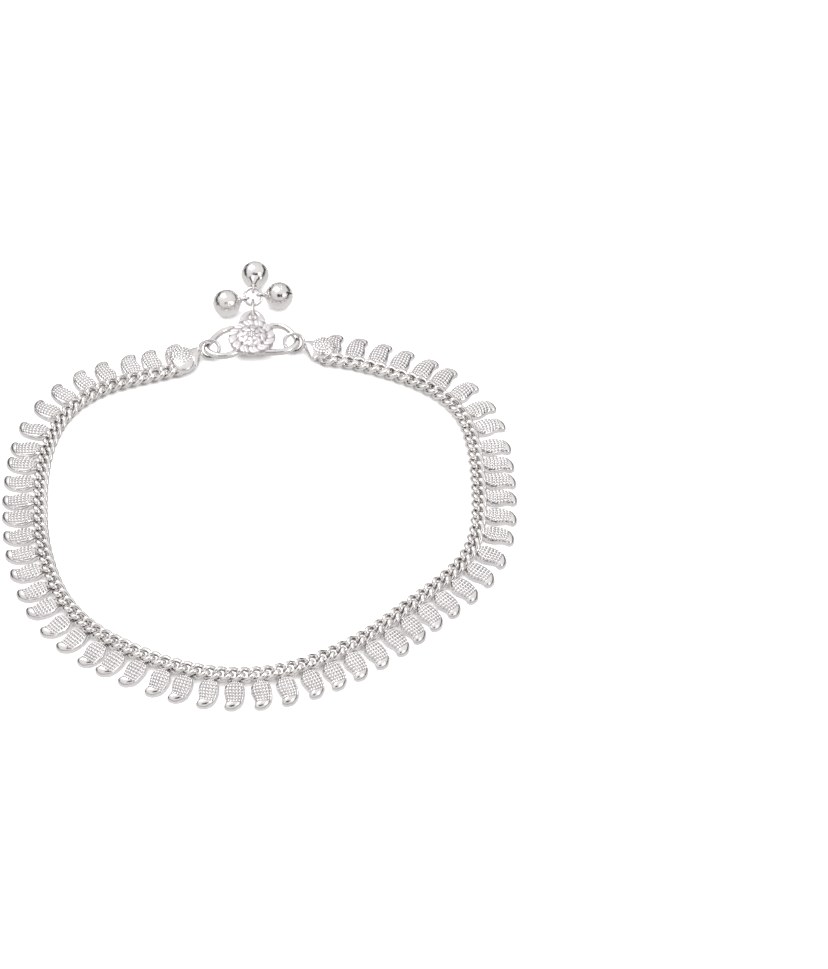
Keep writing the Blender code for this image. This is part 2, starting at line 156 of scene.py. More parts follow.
class Route:
    """The chain's middle line, by its length from the left end."""

    def __init__(self, points):
        self.line = smooth_curve(points, ROUTE_SAMPLES)
        steps = np.linalg.norm(np.diff(self.line, axis=0), axis=1)
        self.lengths = np.concatenate([[0], np.cumsum(steps)])
        self.length = self.lengths[-1]
        self.drops = round(self.length / (LINK_PITCH * LINKS_PER_DROP))
        self.pitch = self.length / self.drops

    def flat_point(self, distance):
        """A place on the middle line, seen from above."""
        return Vector((
            np.interp(distance, self.lengths, self.line[:, 0]),
            np.interp(distance, self.lengths, self.line[:, 1]),
            0,
        ))

    def tilt(self, distance):
        """How steeply the drops slope down: more at the front than at the clasp."""
        place = self.flat_point(distance)
        front_share = (1 - place.y / place.length) / 2
        return TILT_BACK + (TILT_FRONT - TILT_BACK) * front_share

    def frame(self, distance):
        """Axes at a place on the chain: X out along a drop, Y along the chain, Z off its face."""
        before = max(distance - HEADING_REACH, 0)
        after = min(distance + HEADING_REACH, self.length)
        travel = (self.flat_point(after) - self.flat_point(before)).normalized()
        tilt = self.tilt(distance)
        out = outward_of(travel) * math.cos(tilt) - UP * math.sin(tilt)
        height = (DROP_ROOT + DROP_LENGTH) * math.sin(tilt) + DROP_BACK * math.cos(tilt)
        place = ROUTE_ORIGIN + self.flat_point(distance) + UP * height
        return axes(place, out, travel, out.cross(travel))


def lattice(rows, columns, round_rows, round_columns):
    """The four corners of every cell in a net of points, closed up along rows or columns."""
    i, j = np.meshgrid(
        np.arange(rows if round_rows else rows - 1),
        np.arange(columns if round_columns else columns - 1),
        indexing="ij",
    )
    below, beside = (i + 1) % rows, (j + 1) % columns
    corners = (i * columns + j, i * columns + beside, below * columns + beside, below * columns + j)
    return np.stack(corners, axis=-1).reshape(-1, 4)


def unit(vectors):
    """The same directions, one long."""
    return vectors / np.linalg.norm(vectors, axis=-1, keepdims=True)


def bent_wire(line, diameter, sides, closed):
    """Round wire bent along the line. Open ends are rounded off to a point in their middle."""
    line = np.array(line, dtype=float)
    ahead, behind = np.roll(line, -1, axis=0), np.roll(line, 1, axis=0)
    if not closed:
        ahead[-1], behind[0] = line[-1], line[0]
    travel = unit(ahead - behind)
    side = np.cross(travel[0], (0, 0, 1) if abs(travel[0][2]) < 0.9 else (1, 0, 0))
    sides_out = []
    for step in travel:
        side = unit(side - step * side.dot(step))
        sides_out.append(side)
    side_way = np.array(sides_out)
    up_way = np.cross(travel, side_way)
    around = np.linspace(0, 2 * np.pi, sides, endpoint=False)
    drift = 0
    if closed:
        last = unit(sides_out[-1] - travel[0] * sides_out[-1].dot(travel[0]))
        drift = math.atan2(last.dot(up_way[0]), last.dot(side_way[0]))
    untwist = -drift * np.arange(len(line)) / len(line)
    angle = around[None, :] + untwist[:, None]
    ring = (
        np.cos(angle)[..., None] * side_way[:, None, :] + np.sin(angle)[..., None] * up_way[:, None, :]
    )
    points = line[:, None, :] + ring * diameter / 2
    if not closed:
        first, final = (np.repeat(end[None, None, :], sides, axis=1) for end in (line[0], line[-1]))
        points = np.concatenate([first, points, final])
    quads = lattice(len(points), sides, round_rows=closed, round_columns=True)
    points = points.reshape(-1, 3)
    return Shape(points, quads, np.zeros(len(points)))


def placed(shape, place):
    """The shape moved to its place."""
    turn = np.array(place.to_3x3())
    return Shape(shape.points @ turn.T + np.array(place.translation), shape.quads, shape.recess)


def piece(name, shapes, finish, node):
    """Join the shapes into one smooth piece in its finish, standing for a node of the model."""
    counts = np.cumsum([0] + [len(shape.points) for shape in shapes])
    points = np.concatenate([shape.points for shape in shapes])
    quads = np.concatenate([shape.quads + start for shape, start in zip(shapes, counts)])
    mesh = bpy.data.meshes.new(name)
    mesh.from_pydata(points.tolist(), [], quads.tolist())
    # Each point's share of painted shade, for the finish to darken it by.
    recess = mesh.attributes.new("recess", "FLOAT", "POINT")
    recess.data.foreach_set("value", np.concatenate([shape.recess for shape in shapes]))
    bm = bmesh.new()
    bm.from_mesh(mesh)
    bmesh.ops.remove_doubles(bm, verts=bm.verts, dist=WELD)
    bmesh.ops.recalc_face_normals(bm, faces=bm.faces)
    bm.to_mesh(mesh)
    bm.free()
    mesh.shade_smooth()
    mesh.set_sharp_from_angle(angle=SMOOTH_ANGLE)
    item = bpy.data.objects.new(name, mesh)
    bpy.context.scene.collection.objects.link(item)
    return dressed(item, finish, node)


def dressed(item, finish, node):
    """Give a piece its finish, and let it ride on the anklet in place of a node."""
    item.data.materials.clear()
    item.data.materials.append(finish)
    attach(item, "root")
    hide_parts(node)
    return item


def linear(colour):
    """An sRGB hex colour as linear red, green, blue and alpha."""
    shares = [int(colour[i:i + 2], 16) / 255 for i in (1, 3, 5)]
    low, high = [s / 12.92 for s in shares], [((s + 0.055) / 1.055) ** 2.4 for s in shares]
    return (*[a if s <= 0.04045 else b for s, a, b in zip(shares, low, high)], 1)


def add_node(tree, kind, settings, links):
    """Add a node, with its settings, its sockets' values or a ramp's stops, and link its sockets."""
    node = tree.nodes.new(kind)
    for name, value in settings.items():
        if name == "stops":
            ramp = node.color_ramp
            while len(ramp.elements) < len(value):
                ramp.elements.new(0.5)
            for element, (place, colour) in zip(ramp.elements, value):
                element.position, element.color = place, linear(colour)
        elif name in node.bl_rna.properties:
            setattr(node, name, value)
        else:
            node.inputs[name].default_value = value
    for name, source in links.items():
        tree.links.new(source, node.inputs[name])
    return node


def silver(name, bright, shaded, recess, polish, polish_spread, mark_size, relief):
    """Sterling silver: two tones in soft clouds, painted shade in its recesses, wear marks of a given size.
    """
    material = bpy.data.materials.new(name)
    material.use_nodes = True
    tree = material.node_tree
    shader = tree.nodes["Principled BSDF"]
    shader.inputs["Metallic"].default_value = 1.0
    place = add_node(tree, "ShaderNodeTexCoord", {}, {}).outputs["Object"]
    clouds = add_node(
        tree, "ShaderNodeTexNoise", {"Scale": 1 / CLOUD_SIZE, "Detail": 3.0}, {"Vector": place},
    )
    tones = add_node(
        tree, "ShaderNodeValToRGB", {"stops": [(0.35, shaded), (0.55, bright)]},
        {"Fac": clouds.outputs["Fac"]},
    )
    # Painted shade: each point's share of it darkens the colour towards the given shade colour.
    depth = add_node(tree, "ShaderNodeAttribute", {"attribute_name": "recess"}, {})
    shade_tones = add_node(
        tree, "ShaderNodeValToRGB", {"stops": [(SHADE_FROM, "#FFFFFF"), (1.00, recess)]},
        {"Fac": depth.outputs["Fac"]},
    )
    colour = add_node(
        tree, "ShaderNodeMixRGB", {"blend_type": "MULTIPLY", "Fac": 1.0},
        {"Color1": tones.outputs["Color"], "Color2": shade_tones.outputs["Color"]},
    )
    tree.links.new(colour.outputs["Color"], shader.inputs["Base Color"])
    marks = add_node(
        tree, "ShaderNodeTexNoise", {"Scale": 1 / mark_size, "Detail": 4.0}, {"Vector": place},
    )
    rough = add_node(
        tree, "ShaderNodeMapRange",
        {"To Min": polish - polish_spread, "To Max": polish + polish_spread},
        {"Value": marks.outputs["Fac"]},
    )
    tree.links.new(rough.outputs["Result"], shader.inputs["Roughness"])
    bump = add_node(
        tree, "ShaderNodeBump", {"Strength": 1.0, "Distance": relief}, {"Height": marks.outputs["Fac"]},
    )
    tree.links.new(bump.outputs["Normal"], shader.inputs["Normal"])
    return material


# Drawn silver wire, tumbled bright: sharp highlights along each bend, with soft rub marks half a
# millimetre long, drawn coarser than the real ones so that they show.
# Its darker colour is painted shade, inside each link and under it.
drawn_silver = silver(
    "drawn_silver_wire", bright="#FAF8F7", shaded="#F0EEED", recess="#989492",
    polish=0.10, polish_spread=0.03, mark_size=0.5 * MM, relief=0.004 * MM,
)


def curb_link():
    """One link lying flat: a twisted oval of wire, with painted shade inside the oval and below it."""
    turn = np.linspace(0, 2 * np.pi, LINK_STEPS, endpoint=False)
    reach = (LINK_PITCH + LINK_WIRE + LINK_PLAY) / 2
    along = np.sign(np.cos(turn)) * np.abs(np.cos(turn)) ** LINK_SQUARENESS
    across = np.sign(np.sin(turn)) * np.abs(np.sin(turn)) ** LINK_SQUARENESS * (LINK_WIDTH - LINK_WIRE) / 2
    roll = LINK_TWIST * along
    line = np.stack([across * np.cos(roll), along * reach, across * np.sin(roll)], axis=1)
    wire = bent_wire(line, LINK_WIRE, WIRE_SIDES, closed=True)
    middles = np.repeat(line, WIRE_SIDES, axis=0)
    # Painted shade: darker on the side of the wire facing into the oval, and on its underside.
    inward = np.clip(-((wire.points - middles) * unit(middles)).sum(axis=1) / (LINK_WIRE / 2), 0, 1)
    under = -wire.points[:, 2] / LINK_SHADE_DEPTH
    return wire._replace(recess=np.clip(np.maximum(inward ** 2, under), 0, 1))


route = Route(CHAIN_ROUTE)
chance = np.random.default_rng(11)
link = curb_link()
half = route.drops // 2


def curb_chain(numbers):
    """The links with these numbers, each rolled a little as it happens to lie."""
    links = []
    for number in numbers:
        roll = Matrix.Rotation(chance.normal(0, LINK_ROLL_SPREAD), 4, "Y")
        links.append(placed(link, route.frame(number * route.pitch / LINKS_PER_DROP) @ roll))
    return links


first_right = half * LINKS_PER_DROP + 1
last = route.drops * LINKS_PER_DROP
piece("curb_links_left", curb_chain(range(1, first_right)), drawn_silver, "keri_chain_left")
piece("curb_links_right", curb_chain(range(first_right, last)), drawn_silver, "keri_chain_right")

# Keri drops. Mango shapes struck from sheet in a die: domed, with rows of raised beads inside a plain
# rim and a plain polished toe that curls back towards the left cap. Each is soldered by its root to a
# link, and they all lie face up.
DROP_WIDTH = 3.6 * MM
DROP_THICKNESS = 1.4 * MM
DROP_EDGE = 0.22
DROP_ROUNDNESS = 2.3
DROP_END_SWELL = 1.7 * MM
DROP_BEADS_FROM = 0.03
DROP_BEADS_TO = 0.74
DROP_BEAD_ROWS = 7
DROP_BEADS_BEHIND = -0.90
DROP_BEADS_AHEAD = 0.76
DROP_BEAD_COLUMNS = 5
DROP_BEAD_RISE = 0.20 * MM
DROP_RIM_RISE = 0.10 * MM
TOE_RISE = 0.06 * MM
DROP_ROW_BOW = 0.35 * MM
DROP_SWING = math.radians(3)
BEAD_STEPS = 6
BEAD_SIDE_SHADE = 0.38
BEAD_CORNER_SHADE = 0.62
OUTLINE_SAMPLES = 8
ROOT_STEPS = 8
TOE_STEPS = 24
BEHIND_STEPS = 3
AHEAD_STEPS = 5
DropRow = namedtuple("DropRow", "along behind ahead")
DROP_OUTLINE = (
    DropRow(-0.10, 0.16, 0.16),
    DropRow(0.03, 0.30, 0.30),
    DropRow(0.16, 0.47, 0.45),
    DropRow(0.36, 0.53, 0.51),
    DropRow(0.56, 0.46, 0.49),
    DropRow(0.70, 0.44, 0.44),
    DropRow(0.84, 0.52, 0.32),
    DropRow(0.94, 0.46, 0.14),
    DropRow(1.00, 0.26, -0.06),
)

# Die-struck silver: bright bead tops and rim, with painted shade grey between the beads.
struck_silver = silver(
    "die_struck_silver", bright="#F8F6F6", shaded="#EFEDED", recess="#5C5857",
    polish=0.20, polish_spread=0.05, mark_size=0.5 * MM, relief=0.005 * MM,
)


def bead_grid(across, along):
    """Round beads, one to a cell: their height from 0 to 1, and how deep each corner lies between four,
    which gets painted shade.
    """
    off = (across % 1 - 0.5) ** 2 + (along % 1 - 0.5) ** 2
    return np.sqrt(np.clip(1 - 4 * off, 0, 1)), np.clip(4 * off - 1, 0, 1)


def stations(*stretches):
    """Places along a line, from stretches of a start, an end and a number of steps."""
    runs = [np.linspace(start, end, steps, endpoint=False) for start, end, steps in stretches]
    return np.concatenate(runs + [[stretches[-1][1]]])


def keri_drop():
    """One drop, its root towards the chain, its back flat."""
    table = [(row.along, (row.ahead - row.behind) / 2, (row.ahead + row.behind) / 2) for row in DROP_OUTLINE]
    table = [(*table[0][:2], 0)] + table + [(*table[-1][:2], 0)]
    outline = smooth_curve(table, OUTLINE_SAMPLES) * (DROP_LENGTH, DROP_WIDTH, DROP_WIDTH)
    lengths = np.concatenate([[0], np.cumsum(np.linalg.norm(np.diff(outline, axis=0), axis=1))])
    lengths = lengths / lengths[-1]
    beads_from = np.interp(DROP_BEADS_FROM * DROP_LENGTH, outline[:, 0], lengths)
    beads_to = np.interp(DROP_BEADS_TO * DROP_LENGTH, outline[:, 0], lengths)
    along = stations(
        (0, beads_from, ROOT_STEPS),
        (beads_from, beads_to, DROP_BEAD_ROWS * BEAD_STEPS),
        (beads_to, 1, TOE_STEPS),
    )[:, None]
    share = stations(
        (-1, DROP_BEADS_BEHIND, BEHIND_STEPS),
        (DROP_BEADS_BEHIND, DROP_BEADS_AHEAD, DROP_BEAD_COLUMNS * BEAD_STEPS),
        (DROP_BEADS_AHEAD, 1, AHEAD_STEPS),
    )[None, :]
    out, middle, half_width = (np.interp(along, lengths, column) for column in outline.T)
    out = out + DROP_ROOT
    from_ends = np.clip(np.minimum(out.max() - out, out - out.min()) / DROP_END_SWELL, 0, 1)
    half_width = np.maximum(half_width, 0)
    across = middle + half_width * share
    out = out + DROP_ROW_BOW * (1 - share ** 2) * np.sin(np.pi * along) ** 2
    arch = (1 - abs(share) ** DROP_ROUNDNESS) ** (1 / DROP_ROUNDNESS)
    swell = arch * np.sqrt(1 - (1 - from_ends) ** 2)
    height = (DROP_THICKNESS - DROP_BEAD_RISE) * (DROP_EDGE + (1 - DROP_EDGE) * swell)
    column = (share - DROP_BEADS_BEHIND) / (DROP_BEADS_AHEAD - DROP_BEADS_BEHIND) * DROP_BEAD_COLUMNS
    row = (along - beads_from) / (beads_to - beads_from) * DROP_BEAD_ROWS
    beaded = (column >= 0) & (column <= DROP_BEAD_COLUMNS) & (row >= 0) & (row <= DROP_BEAD_ROWS)
    beads, corners = bead_grid(column, row)
    plain = DROP_RIM_RISE + TOE_RISE * (row > DROP_BEAD_ROWS)
    height = height + np.where(beaded, DROP_BEAD_RISE * beads, plain) * swell
    # Painted shade between the beads, darkest where four of them meet.
    recess = np.where(beaded, BEAD_SIDE_SHADE * (1 - beads) + BEAD_CORNER_SHADE * corners, 0)
    top = np.stack([out, across, height - DROP_BACK], axis=-1)
    back = np.stack([out[:, [0, -1]], across[:, [0, -1]], np.full((len(along), 2), -DROP_BACK)], axis=-1)
    points = np.concatenate([back[:, :1], top, back[:, 1:]], axis=1)
    recess = np.pad(recess, ((0, 0), (1, 1)))
    quads = lattice(*points.shape[:2], round_rows=False, round_columns=True)
    return Shape(points.reshape(-1, 3), quads, recess.reshape(-1))


drop = keri_drop()
drops = []
for number in range(route.drops):
    place = route.frame((number + 0.5) * route.pitch)
    drops.append(placed(drop, place @ Matrix.Rotation(chance.normal(0, DROP_SWING), 4, "Z")))
piece("keri_drops_left", drops[:half], struck_silver, "keri_chain_left")
piece("keri_drops_right", drops[half:], struck_silver, "keri_chain_right")

# End caps. A round beaded boss struck like the drops, a plain polished tongue that covers the chain's
# last link, and a ring of drawn wire that stands at a slant at the tongue's tip, all soldered together at
# each end of the chain. The left boss has a smooth lobe as well.
HOOK_HEIGHT = 2.1 * MM
START_HEADING = math.radians(206)
END_HEADING = math.radians(170)
CAP_DIAMETER = 4.9 * MM
CAP_THICKNESS = 1.6 * MM
CAP_OUT = 2.1 * MM
CAP_ALONG = -0.6 * MM
CAP_EDGE = 0.34
CAP_BEAD_PITCH = 0.62 * MM
CAP_BEAD_RISE = 0.14 * MM
CAP_BEADED_RADIUS = 2.15 * MM
CAP_RIM_SHARE = 0.8
CAP_SHADE = 0.55
CAP_RINGS = 36
CAP_SPOKES = 96
LEFT_LOBE = 1.3 * MM
LEFT_LOBE_WAY = math.radians(165)
TONGUE_THICKNESS = 1.0 * MM
TONGUE_OUT = 2.7 * MM
TONGUE_ALONG = 2.9 * MM
TONGUE_INNER_OUT = -1.6 * MM
TONGUE_INNER_ALONG = 1.0 * MM
TONGUE_CAP_OUT = 3.3 * MM
TONGUE_ROUNDING = 0.35
TONGUE_CROWN = 1.15
TONGUE_SIDE_STEPS = 8
TONGUE_SOFTENINGS = 6
TONGUE_LEVELS = 13
END_RING_LENGTH = 4.3 * MM
END_RING_WIDTH = 4.1 * MM
END_RING_WIRE = 0.7 * MM
END_RING_TILT = math.radians(55)
RING_STEPS = 72
RING_SIDES = 16
SHADE_BELOW_FROM = 0.6

# Drawn silver wire again, soldered: bright on top, with painted shade greying its lower side.
underside_shaded_silver = silver(
    "underside_shaded_silver_wire", bright="#F6F4F3", shaded="#E8E6E5", recess="#6E6A68",
    polish=0.12, polish_spread=0.03, mark_size=0.5 * MM, relief=0.004 * MM,
)


def struck_disc(edge, relief, base, rings, spokes):
    """A flat-backed disc struck in relief: its edge and its relief are given round its middle."""
    angle = np.linspace(-np.pi, np.pi, spokes, endpoint=False)[None, :]
    share = np.linspace(0, 1, rings)[:, None]
    radius = edge(angle) * share
    height, recess = relief(share, angle, radius)
    across, deep = radius * np.cos(angle), radius * np.sin(angle)
    top = np.stack([across, deep, base + height], axis=-1)
    rim = top[-1:].copy()
    rim[..., 2] = base
    middle = np.zeros_like(rim)
    middle[..., 2] = base
    points = np.concatenate([top, rim, middle])
    recess = np.pad(np.broadcast_to(recess, height.shape), ((0, 2), (0, 0)))
    quads = lattice(rings + 2, spokes, round_rows=False, round_columns=True)
    return Shape(points.reshape(-1, 3), quads, recess.reshape(-1))


def ring_beads(radius, angle, pitch):
    """The height of beads set in rings about a middle, from 0 between them to 1 on top."""
    ring = np.maximum(np.floor(radius / pitch + 0.5), 0)
    count = np.maximum(np.round(2 * np.pi * ring), 1)
    around = (angle / (2 * np.pi) * count) % 1 - 0.5
    off = (radius / pitch - ring) ** 2 + np.where(ring > 0, around, 0) ** 2
    return np.sqrt(np.clip(1 - 4 * off, 0, 1))


def shaded_below(wire, diameter, sides):
    """The wire with painted shade on its lower side."""
    rings = wire.points.reshape(-1, sides, 3)
    lowness = (rings.mean(axis=1, keepdims=True) - rings)[..., 2] / (diameter / 2)
    # Painted shade: greyer towards the wire's lower side.
    return wire._replace(recess=np.clip((lowness + SHADE_BELOW_FROM) / (1 + SHADE_BELOW_FROM), 0, 1).reshape(-1))


def oval_ring(length, width, wire, place):
    """An oval ring of round wire: its length along X, its width along Y."""
    turn = np.linspace(0, 2 * np.pi, RING_STEPS, endpoint=False)
    line = [((length - wire) / 2 * math.cos(a), (width - wire) / 2 * math.sin(a), 0) for a in turn]
    ring = placed(bent_wire(line, wire, RING_SIDES, closed=True), place)
    return shaded_below(ring, wire, RING_SIDES)


def cap_relief(share, angle, radius):
    """A dome of beads in rings inside a plain rim, with painted shade between the beads."""
    dome = CAP_THICKNESS * (CAP_EDGE + (1 - CAP_EDGE) * np.sqrt(1 - share ** 2))
    beaded = radius < CAP_BEADED_RADIUS
    beads = ring_beads(radius, angle, CAP_BEAD_PITCH)
    height = dome - CAP_BEAD_RISE + CAP_BEAD_RISE * np.where(beaded, beads, CAP_RIM_SHARE)
    # Painted shade between the beads.
    return height, np.where(beaded, CAP_SHADE * (1 - beads), 0)


def left_cap_edge(angle):
    """A round edge with a smooth lobe that laps over the chain's end."""
    return CAP_DIAMETER / 2 + LEFT_LOBE * np.clip(np.cos(angle - LEFT_LOBE_WAY), 0, 1) ** 3


def right_cap_edge(angle):
    """A round edge."""
    return np.full_like(angle, CAP_DIAMETER / 2)


def tongue(corners):
    """A plain polished plate over the chain's end, its top swollen like a pillow."""
    corners = np.array(corners, dtype=float)
    outline = np.concatenate([
        np.linspace(corner, following, TONGUE_SIDE_STEPS, endpoint=False)
        for corner, following in zip(corners, np.roll(corners, -1, axis=0))
    ])
    for _ in range(TONGUE_SOFTENINGS):
        outline = (np.roll(outline, 1, axis=0) + 2 * outline + np.roll(outline, -1, axis=0)) / 4
    middle = outline.mean(axis=0)
    levels = [(1.0, 0.0)]
    for turn in np.linspace(0, np.pi / 2, TONGUE_LEVELS):
        levels.append((math.cos(turn), TONGUE_ROUNDING + (TONGUE_CROWN - TONGUE_ROUNDING) * math.sin(turn)))
    rows = [np.zeros((len(outline), 3))]
    rows[0][:, :2] = middle
    for share, rise in levels:
        flat = middle + (outline - middle) * share
        rows.append(np.column_stack([flat, np.full(len(flat), rise * TONGUE_THICKNESS)]))
    points = np.array(rows)
    quads = lattice(len(points), len(outline), round_rows=False, round_columns=True)
    points = points.reshape(-1, 3)
    return Shape(points, quads, np.zeros(len(points)))


def end_cap(name, at_start, node):
    """Lay out one cap on its end of the chain, and return the middle of its ring."""
    clasp_side = -1 if at_start else 1
    travel = heading_vector(START_HEADING if at_start else END_HEADING)
    out = outward_of(travel)
    chain_end = ROUTE_ORIGIN + route.flat_point(0 if at_start else route.length)
    place = axes(chain_end + UP * (HOOK_HEIGHT - TONGUE_THICKNESS / 2), out, travel, UP)
    cap_along = clasp_side * CAP_ALONG
    ring_along = clasp_side * (TONGUE_ALONG + END_RING_WIRE / 2)
    edge = left_cap_edge if at_start else right_cap_edge
    boss = struck_disc(edge, cap_relief, 0, CAP_RINGS, CAP_SPOKES)
    plate = tongue([
        (TONGUE_INNER_OUT, clasp_side * TONGUE_INNER_ALONG),
        (TONGUE_OUT - END_RING_WIRE, ring_along),
        (TONGUE_OUT + END_RING_WIRE, ring_along),
        (TONGUE_CAP_OUT, cap_along),
        (0, cap_along),
    ])
    tip = chain_end + travel * clasp_side * TONGUE_ALONG + out * TONGUE_OUT
    ring_middle = tip - Vector((clasp_side * END_RING_LENGTH / 2, 0, -HOOK_HEIGHT))
    lean = Matrix.Translation(ring_middle) @ Matrix.Rotation(END_RING_TILT, 4, "X")
    piece(name, [
        placed(boss, place @ Matrix.Translation((CAP_OUT, cap_along, 0))),
        placed(plate, place),
    ], struck_silver, node)
    ring = oval_ring(END_RING_LENGTH, END_RING_WIDTH, END_RING_WIRE, lean)
    piece(name + "_ring", [ring], underside_shaded_silver, node)
    return ring_middle


left_ring = end_cap("soldered_cap_left", at_start=True, node="end_cap_left")
end_cap("soldered_cap_right", at_start=False, node="end_cap_right")

# Clasp hook. An S of thick drawn wire whose two loops hold the caps' rings, with an embossed rosette
# soldered over its middle and, behind the rosette, a pierced tab for the bells' rings.
HOOK_LENGTH = 18.1 * MM
HOOK_WIDTH = 8.8 * MM
HOOK_WIRE = 1.2 * MM
HOOK_STEPS = 10
JOIN_GAP = 0.3 * MM
ROSETTE_DIAMETER = 8.7 * MM
ROSETTE_THICKNESS = 0.9 * MM
ROSETTE_SEAT = 0.3 * MM
ROSETTE_PETALS = 12
PETAL_NOTCH = 0.32 * MM
PETAL_RISE = 0.12 * MM
PETAL_VEIN = 0.35
PETAL_CURL = 0.45
PETAL_VEIN_WIDTH = 0.07
PETAL_OVERLAP = 0.04
INNER_PETALS = 8
BOSS_SHARE = 0.64
BOSS_FOOT = 0.672
BOSS_RISE = 0.64 * MM
BUTTON_SHARE = 0.19
BUTTON_BEAD_PITCH = 0.45 * MM
ROSETTE_RINGS = 64
ROSETTE_SPOKES = 288
TAB_WIDTH = 5.0 * MM
TAB_REACH = 2.6 * MM
TAB_THICKNESS = 0.8 * MM
TAB_OVERLAP = 0.8 * MM
TAB_HOLE = 1.6 * MM
TAB_ROUNDING = 0.16 * MM
TAB_SPOKES = 64
EAR_SWEEP = 720
PetalRing = namedtuple("PetalRing", "start end count shift curl")
PETAL_RINGS = (
    PetalRing(BOSS_SHARE - PETAL_OVERLAP, 1.02, ROSETTE_PETALS, 0, PETAL_CURL),
    PetalRing(0.40, BOSS_SHARE + PETAL_OVERLAP, INNER_PETALS, 0, -PETAL_CURL),
    PetalRing(0.18, 0.42, INNER_PETALS, 0.5, PETAL_CURL),
)
HookPoint = namedtuple("HookPoint", "along across")
HOOK_ROUTE = (
    HookPoint(0.24, -0.80),
    HookPoint(0.55, -0.80),
    HookPoint(0.85, -0.62),
    HookPoint(1.00, -0.15),
    HookPoint(0.90, 0.45),
    HookPoint(0.60, 1.00),
    HookPoint(0.30, 0.85),
    HookPoint(0.00, 0.00),
    HookPoint(-0.30, -0.75),
    HookPoint(-0.60, -1.05),
    HookPoint(-0.88, -0.92),
    HookPoint(-1.00, -0.58),
    HookPoint(-0.90, -0.05),
    HookPoint(-0.65, 0.62),
    HookPoint(-0.35, 0.80),
    HookPoint(-0.10, 0.55),
)


def hook_point(point):
    """A point of the hook's wire, from the rosette's middle."""
    across = point.across * (HOOK_WIDTH - HOOK_WIRE) / 2
    return Vector((point.along * (HOOK_LENGTH - HOOK_WIRE) / 2, across, 0))


def rosette_edge(angle):
    """A scalloped edge, one scallop to a petal."""
    scallop = np.abs(np.cos(angle * ROSETTE_PETALS / 2)) ** 0.5
    return ROSETTE_DIAMETER / 2 - PETAL_NOTCH * (1 - scallop)


def swelling(share, start, end):
    """Rises from 0 at the start to 1 half way and falls to 0 at the end."""
    return np.sqrt(np.clip(1 - (2 * (share - start) / (end - start) - 1) ** 2, 0, 1))


def petals(share, angle, ring):
    """The height of a ring of petals that curl round, each with a vein down its middle."""
    start, end = ring.start, ring.end
    turn = angle / (2 * np.pi) * ring.count + ring.shift + ring.curl * (end - share) / (end - start)
    turn = turn % 1 - 0.5
    width = swelling(share, start, end)
    side = np.clip(1 - (turn / (0.5 * np.clip(width, 0.01, 1))) ** 2, 0, 1)
    vein = np.exp(-(turn / PETAL_VEIN_WIDTH) ** 2) * PETAL_VEIN
    return np.sqrt(side) * width ** 0.5 * (1 - vein)


def rosette_relief(share, angle, radius):
    """Petals round the edge, two rings of smaller ones on the boss, and a beaded button, with painted shade
    between them.
    """
    relief = ring_beads(radius, angle, BUTTON_BEAD_PITCH) * (share < BUTTON_SHARE)
    for ring in PETAL_RINGS:
        relief = np.maximum(relief, petals(share, angle, ring))
    boss = np.sqrt(np.clip(1 - (share / BOSS_FOOT) ** 2, 0, 1)) * BOSS_RISE
    height = ROSETTE_THICKNESS - PETAL_RISE / 2 + boss + PETAL_RISE * relief
    # Painted shade between the petals and beads, deepest where the relief is lowest.
    return height, np.clip(1 - relief, 0, 1) ** 2


def pierced_tab(hole_offset):
    """A flat ear with a round hole, its edges softened, from the rosette's middle."""
    angle = np.linspace(0, 2 * np.pi, TAB_SPOKES, endpoint=False)
    ear_middle = ROSETTE_DIAMETER / 2 - TAB_OVERLAP - hole_offset
    reach = TAB_REACH + TAB_OVERLAP
    sweep = np.linspace(0, 2 * np.pi, EAR_SWEEP)
    ear_x, ear_y = TAB_WIDTH / 2 * np.cos(sweep), ear_middle + reach * np.sin(sweep)
    order = np.argsort(np.arctan2(ear_y, ear_x) % (2 * np.pi))
    ear_angle = (np.arctan2(ear_y, ear_x) % (2 * np.pi))[order]
    outer = np.interp(angle, ear_angle, np.hypot(ear_x, ear_y)[order], period=2 * np.pi)
    inner = np.full_like(outer, TAB_HOLE / 2)
    soft, thick = TAB_ROUNDING, TAB_THICKNESS
    section = [
        (inner, soft), (inner + soft, 0), (outer - soft, 0), (outer, soft),
        (outer, thick - soft), (outer - soft, thick), (inner + soft, thick), (inner, thick - soft),
    ]
    rows = []
    for radius, rise in section:
        height = np.full_like(radius, rise + ROSETTE_SEAT)
        rows.append(np.column_stack([radius * np.cos(angle), hole_offset + radius * np.sin(angle), height]))
    points = np.concatenate(rows)
    quads = lattice(len(rows), len(angle), round_rows=True, round_columns=True)
    return Shape(points, quads, np.zeros(len(points)))


hook_ends = [hook_point(point) for point in HOOK_ROUTE]
hook_left = min(hook_ends, key=lambda place: place.x)
ring_play = Vector(((END_RING_LENGTH - HOOK_WIRE) / 2 - END_RING_WIRE - JOIN_GAP, 0, 0))
rosette = left_ring - ring_play - hook_left
tab_hole_offset = ROSETTE_DIAMETER / 2 + TAB_HOLE / 2 + JOIN_GAP / 2

